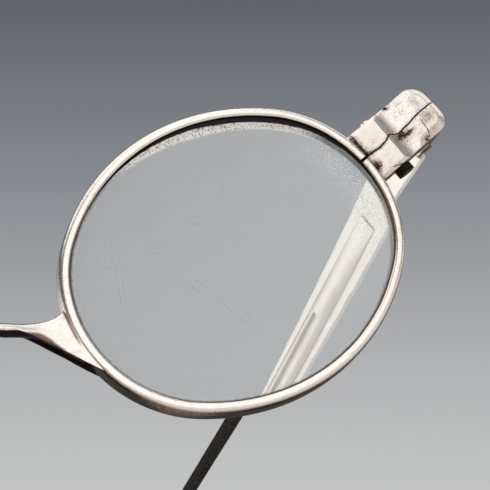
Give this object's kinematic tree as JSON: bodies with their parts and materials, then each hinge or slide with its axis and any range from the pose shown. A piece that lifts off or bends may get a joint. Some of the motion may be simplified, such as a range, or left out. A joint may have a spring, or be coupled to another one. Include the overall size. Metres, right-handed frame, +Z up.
{
  "type": "spectacles",
  "caption": "Silver spectacles with oval clear lenses, an arched wire bridge, split end pieces and straight side arms that fold and slide out to length.",
  "frame": {"origin": "on the underside of the bridge at the middle of its arch, where it rests on the nose", "axes": "+Z up as worn, -Y forward through the lenses, open arms run towards +Y, +X towards the wearer's left"},
  "size_m": [0.1164, 0.1375, 0.0297],
  "materials": {
    "silver": "polished and worn silver, brown-black tarnish in the seams and hollows",
    "screws": "dull, tarnished screws and studs",
    "glass": "clear old glass with fine scratches, small pits and grime along the rim"
  },
  "bodies": {
    "front": {"bridge": "silver", "left_rim": "silver", "right_rim": "silver", "left_lens": "glass", "right_lens": "glass", "left_endpiece_upper": "silver", "left_endpiece_lower": "silver", "right_endpiece_upper": "silver", "right_endpiece_lower": "silver", "left_closing_screw": "screws", "right_closing_screw": "screws", "left_hinge_screw": "screws", "right_hinge_screw": "screws"},
    "left_arm": {"left_temple": "silver", "left_keeper": "silver", "left_stud": "screws"},
    "right_arm": {"right_temple": "silver", "right_keeper": "silver", "right_stud": "screws"},
    "left_slider": {"left_slider": "silver"},
    "right_slider": {"right_slider": "silver"}
  },
  "joints": [
    {"name": "left_hinge", "type": "hinge", "parent": "front", "child": "left_arm", "pos_m": [0.0568, 0.0049, -0.00591], "axis": [0, 0, 1], "range_deg": [0, 90]},
    {"name": "right_hinge", "type": "hinge", "parent": "front", "child": "right_arm", "pos_m": [-0.0568, 0.0049, -0.00591], "axis": [0, 0, -1], "range_deg": [0, 84]},
    {"name": "left_slide", "type": "slide", "parent": "left_arm", "child": "left_slider", "axis": [0, 0.9979, -0.0645], "range_m": [-0.005, 0.026]},
    {"name": "right_slide", "type": "slide", "parent": "right_arm", "child": "right_slider", "axis": [0, 0.9979, -0.0645], "range_m": [-0.005, 0.026]}
  ]
}
